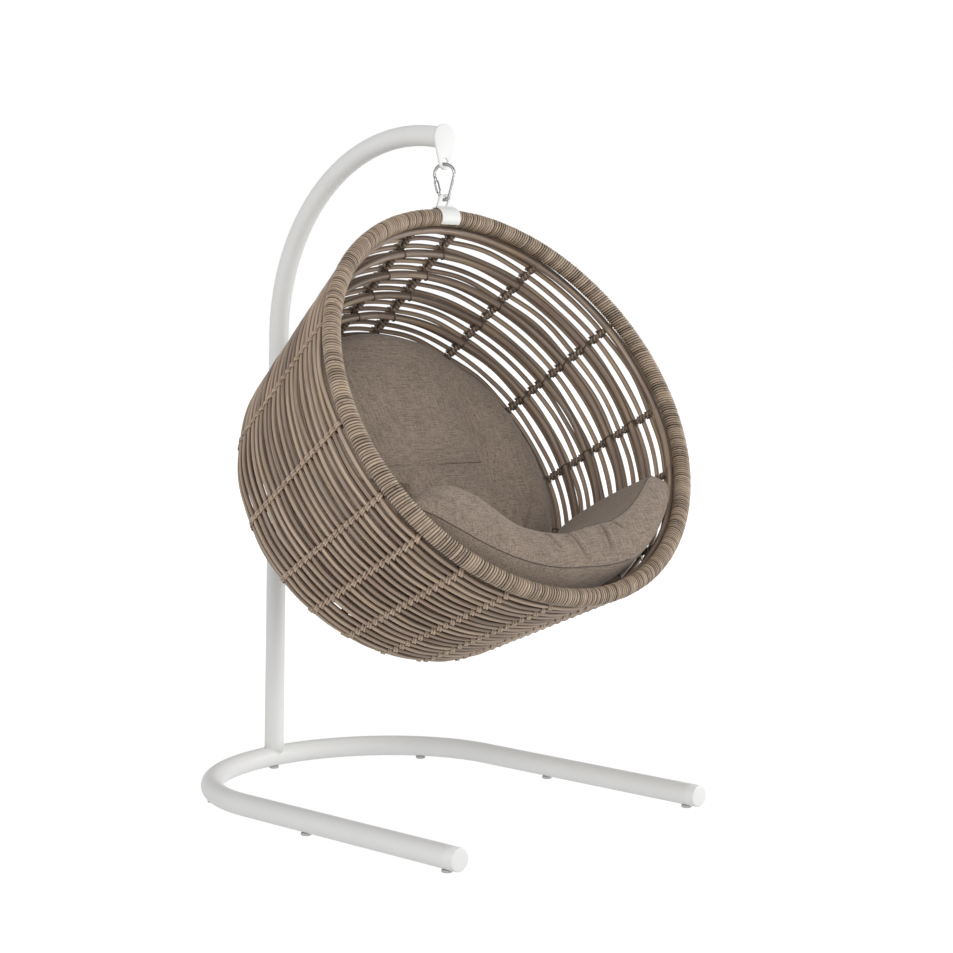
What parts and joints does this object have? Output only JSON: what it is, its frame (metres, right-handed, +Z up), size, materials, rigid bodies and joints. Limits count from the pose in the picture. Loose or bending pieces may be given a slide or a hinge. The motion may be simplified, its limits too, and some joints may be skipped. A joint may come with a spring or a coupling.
{
  "type": "hanging chair",
  "caption": "Round wicker hanging chair with a deep basket, a seat cushion and a back cushion, hung by a carabiner from a bent tube mast on a U-shaped floor base.",
  "frame": {"origin": "on the floor under the middle of the object's box, on the plane of symmetry of the stand", "axes": "+Z up, -Y the way the chair faces, +X to the right of someone who looks along +Y"},
  "size_m": [1.31, 1.3782, 1.9494],
  "materials": {
    "white_steel": "satin",
    "white_cap": "satin",
    "glide": "matte",
    "zinc": "polished",
    "rattan": "satin",
    "wrapped_rattan": "satin",
    "linen": "matte"
  },
  "bodies": {
    "stand": {"base_tube": "white_steel", "mast_tube": "white_steel", "end_cap_left": "white_cap", "end_cap_right": "white_cap", "hanger_plate": "white_steel", "foot_rear": "glide", "foot_front_left": "glide", "foot_middle_left": "glide", "foot_bend_left": "glide", "foot_front_right": "glide", "foot_middle_right": "glide", "foot_bend_right": "glide"},
    "carabiner": {"carabiner_body": "zinc", "gate_pin": "zinc"},
    "gate": {"carabiner_gate": "zinc", "gate_spring": "zinc"},
    "sleeve": {"lock_sleeve": "zinc"},
    "basket": {"rim_bracket": "white_steel", "rim_ring": "wrapped_rattan", "rib_01": "rattan", "rib_02": "rattan", "rib_03": "rattan", "rib_04": "rattan", "rib_05": "rattan", "rib_06": "rattan", "rib_07": "rattan", "rib_08": "rattan", "rib_09": "rattan", "rib_10": "rattan", "rib_11": "rattan", "rib_12": "rattan", "rib_13": "rattan", "rib_14": "rattan", "rib_15": "rattan", "rib_16": "rattan", "rib_17": "rattan", "rib_18": "rattan", "rib_19": "rattan", "hoop_0": "rattan", "hoop_1": "rattan", "hoop_2": "rattan", "hoop_3": "rattan", "hoop_4": "rattan", "hoop_5": "rattan", "hoop_6": "rattan", "hoop_7": "rattan", "hoop_8": "rattan", "cane_1": "rattan", "cane_2": "rattan", "cane_3": "rattan", "cane_4": "rattan", "cane_5": "rattan", "cane_6": "rattan", "cane_7": "rattan", "cane_8": "rattan", "back_panel": "rattan", "back_cushion": "linen", "seat_cushion": "linen"}
  },
  "joints": [
    {"name": "swing", "type": "hinge", "parent": "stand", "child": "carabiner", "pos_m": [0, -0.10001, 1.82707], "axis": [1, 0, 0], "range_deg": [-12, 12]},
    {"name": "side_sway", "type": "hinge", "parent": "carabiner", "child": "basket", "pos_m": [0, -0.10001, 1.73327], "axis": [0, 1, 0], "range_deg": [-10, 10]},
    {"name": "gate_hinge", "type": "hinge", "parent": "carabiner", "child": "gate", "pos_m": [-0.00759, -0.08685, 1.74867], "axis": [0.866, 0.5, 0], "range_deg": [0, 20], "stiffness_Nm_per_rad": 0.2},
    {"name": "sleeve_slide", "type": "slide", "parent": "gate", "child": "sleeve", "axis": [-0.1228, 0.2127, 0.9694], "range_m": [0, 0.0125]}
  ]
}
